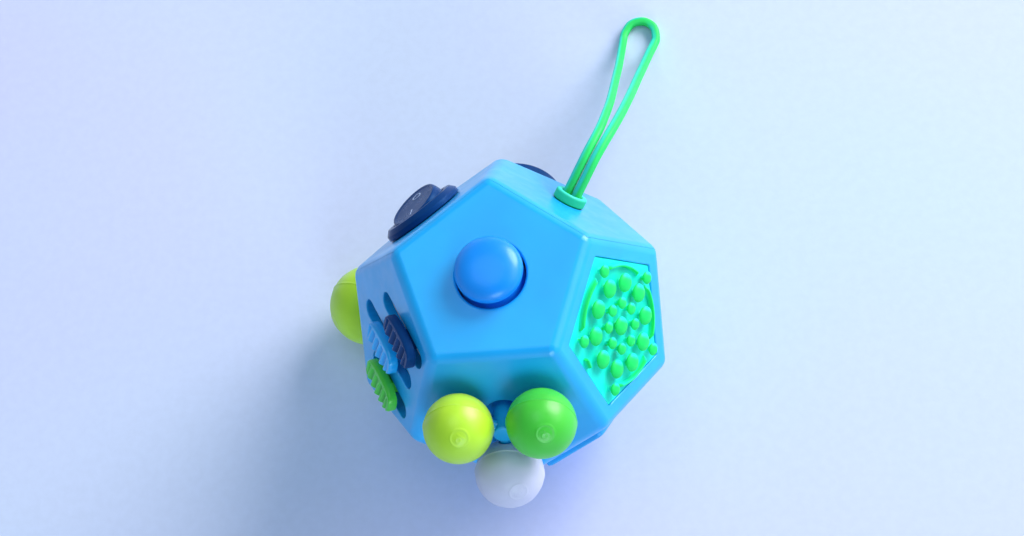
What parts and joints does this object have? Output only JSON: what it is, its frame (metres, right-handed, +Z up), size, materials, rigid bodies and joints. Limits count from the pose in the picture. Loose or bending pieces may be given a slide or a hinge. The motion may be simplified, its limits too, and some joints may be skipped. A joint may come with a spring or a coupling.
{
  "type": "fidget toy",
  "caption": "Hollow dodecahedral hand toy with a control on each face: joystick, ball spinner, sliders, rocker, bristle pad, dial, buttons and wheels, plus a cord loop.",
  "frame": {"origin": "centre of the base face, on the fixed base cap's flat end, which the toy stands on", "axes": "+Z up along the axis from the base face to the joystick face; -Y towards the ball spinner's side; +X completes the right-handed frame"},
  "size_m": [0.0863, 0.1387, 0.0686],
  "materials": {
    "shell": "satin sky blue moulded plastic",
    "joystick": "satin soft-touch blue",
    "pad": "satin turquoise silicone",
    "lanyard": "satin turquoise elastomer",
    "lime": "glossy lime elastomer",
    "green": "glossy green elastomer",
    "white": "glossy white elastomer",
    "switch": "semi-gloss navy-black",
    "inner": "plain white moulding",
    "steel": "bright steel",
    "brass": "plain brass"
  },
  "bodies": {
    "root": {"shell_front": "shell", "shell_back": "shell", "joystick_cradle": "inner", "joystick_spring": "steel", "spinner_bearing": "inner", "bristle_pad": "pad", "pad_backplate": "inner", "slider_guide": "inner", "rocker_housing": "switch", "rocker_contact": "brass", "rocker_terminal_left": "brass", "rocker_terminal_right": "brass", "lanyard_grommet": "lanyard", "lanyard_cord": "lanyard", "lanyard_anchor": "lanyard", "dial_detent": "steel", "ball_post": "inner", "ball_collar": "switch", "button_mat": "pad", "button_backplate": "inner", "thumb_plate": "shell", "wheel_axle": "steel", "wheel_bracket": "inner", "base_cap": "shell", "base_plate": "inner", "base_screw": "steel"},
    "joystick_gimbal": {"joystick_ring": "inner"},
    "joystick_stick": {"joystick_cap": "joystick", "joystick_stem": "joystick"},
    "spinner": {"spinner_hub": "shell", "ball_lime": "lime", "ball_green": "green", "ball_white": "white", "spinner_washer": "steel", "spinner_screw": "steel"},
    "slider_blue": {"slider_knob_blue": "shell", "slider_clip_blue": "inner"},
    "slider_black": {"slider_knob_black": "switch", "slider_clip_black": "inner"},
    "slider_green": {"slider_knob_green": "green", "slider_clip_green": "inner"},
    "rocker": {"rocker_paddle": "switch", "rocker_plunger": "inner", "rocker_spring": "steel"},
    "dial": {"dial_knob": "switch", "dial_shaft": "steel", "dial_clip": "steel", "dial_ratchet": "inner"},
    "thumb_ball": {"thumb_ball": "lime"},
    "button_1": {"button_1": "switch"},
    "button_2": {"button_2": "lime"},
    "button_3": {"button_3": "green"},
    "button_4": {"button_4": "pad"},
    "button_5": {"button_5": "white"},
    "wheel_1": {"wheel_1": "lime"},
    "wheel_2": {"wheel_2": "switch"},
    "wheel_3": {"wheel_3": "white"},
    "spin_ring": {"spin_ring": "switch"}
  },
  "joints": [
    {"name": "joystick_tilt_x", "type": "hinge", "parent": "root", "child": "joystick_gimbal", "pos_m": [0, 0, 0.05636], "axis": [1, 0, 0], "range_deg": [-9, 9], "stiffness_Nm_per_rad": 0.02, "deforming": ["joystick_spring"]},
    {"name": "joystick_tilt_y", "type": "hinge", "parent": "joystick_gimbal", "child": "joystick_stick", "pos_m": [0, 0, 0.05636], "axis": [0, 1, 0], "range_deg": [-9, 9], "stiffness_Nm_per_rad": 0.02},
    {"name": "spinner_spin", "type": "hinge", "parent": "root", "child": "spinner", "pos_m": [0, -0.02789, 0.04512], "axis": [0, -0.8944, 0.4472], "continuous": true},
    {"name": "slider_blue_slide", "type": "slide", "parent": "root", "child": "slider_blue", "axis": [0.4253, -0.8618, 0.2764], "range_m": [-0.0118, 0.0103]},
    {"name": "slider_black_slide", "type": "slide", "parent": "root", "child": "slider_black", "axis": [0.4253, -0.8618, 0.2764], "range_m": [-0.0119, 0.0056]},
    {"name": "slider_green_slide", "type": "slide", "parent": "root", "child": "slider_green", "axis": [0.4253, -0.8618, 0.2764], "range_m": [-0.007, 0.0077]},
    {"name": "rocker_tilt", "type": "hinge", "parent": "root", "child": "rocker", "pos_m": [-0.01834, 0.02269, 0.04575], "axis": [-0.809, -0.2629, -0.5257], "range_deg": [0, 32]},
    {"name": "dial_turn", "type": "hinge", "parent": "root", "child": "dial", "pos_m": [0, 0.02789, 0.01724], "axis": [0, 0.8944, -0.4472], "continuous": true},
    {"name": "thumb_ball_spin", "type": "hinge", "parent": "root", "child": "thumb_ball", "pos_m": [-0.02652, 0.00862, 0.01724], "axis": [-0.8507, 0.2764, -0.4472], "continuous": true},
    {"name": "button_1_press", "type": "slide", "parent": "root", "child": "button_1", "axis": [0.5257, 0.7236, 0.4472], "range_m": [0, 0.0012], "stiffness_N_per_m": 250, "springref_m": -0.0004},
    {"name": "button_2_press", "type": "slide", "parent": "root", "child": "button_2", "axis": [0.5257, 0.7236, 0.4472], "range_m": [0, 0.0012], "stiffness_N_per_m": 250, "springref_m": -0.0004},
    {"name": "button_3_press", "type": "slide", "parent": "root", "child": "button_3", "axis": [0.5257, 0.7236, 0.4472], "range_m": [0, 0.0012], "stiffness_N_per_m": 250, "springref_m": -0.0004},
    {"name": "button_4_press", "type": "slide", "parent": "root", "child": "button_4", "axis": [0.5257, 0.7236, 0.4472], "range_m": [0, 0.0012], "stiffness_N_per_m": 250, "springref_m": -0.0004},
    {"name": "button_5_press", "type": "slide", "parent": "root", "child": "button_5", "axis": [0.5257, 0.7236, 0.4472], "range_m": [0, 0.0012], "stiffness_N_per_m": 250, "springref_m": -0.0004},
    {"name": "wheel_1_spin", "type": "hinge", "parent": "root", "child": "wheel_1", "pos_m": [0.02473, 0.00257, 0.01902], "axis": [-0.309, 0.9511, 0], "continuous": true},
    {"name": "wheel_2_spin", "type": "hinge", "parent": "root", "child": "wheel_2", "pos_m": [0.02312, 0.00751, 0.01902], "axis": [-0.309, 0.9511, 0], "continuous": true},
    {"name": "wheel_3_spin", "type": "hinge", "parent": "root", "child": "wheel_3", "pos_m": [0.02151, 0.01246, 0.01902], "axis": [-0.309, 0.9511, 0], "continuous": true},
    {"name": "spin_ring_turn", "type": "hinge", "parent": "root", "child": "spin_ring", "pos_m": [0, 0, 0], "axis": [0, 0, -1], "continuous": true}
  ]
}
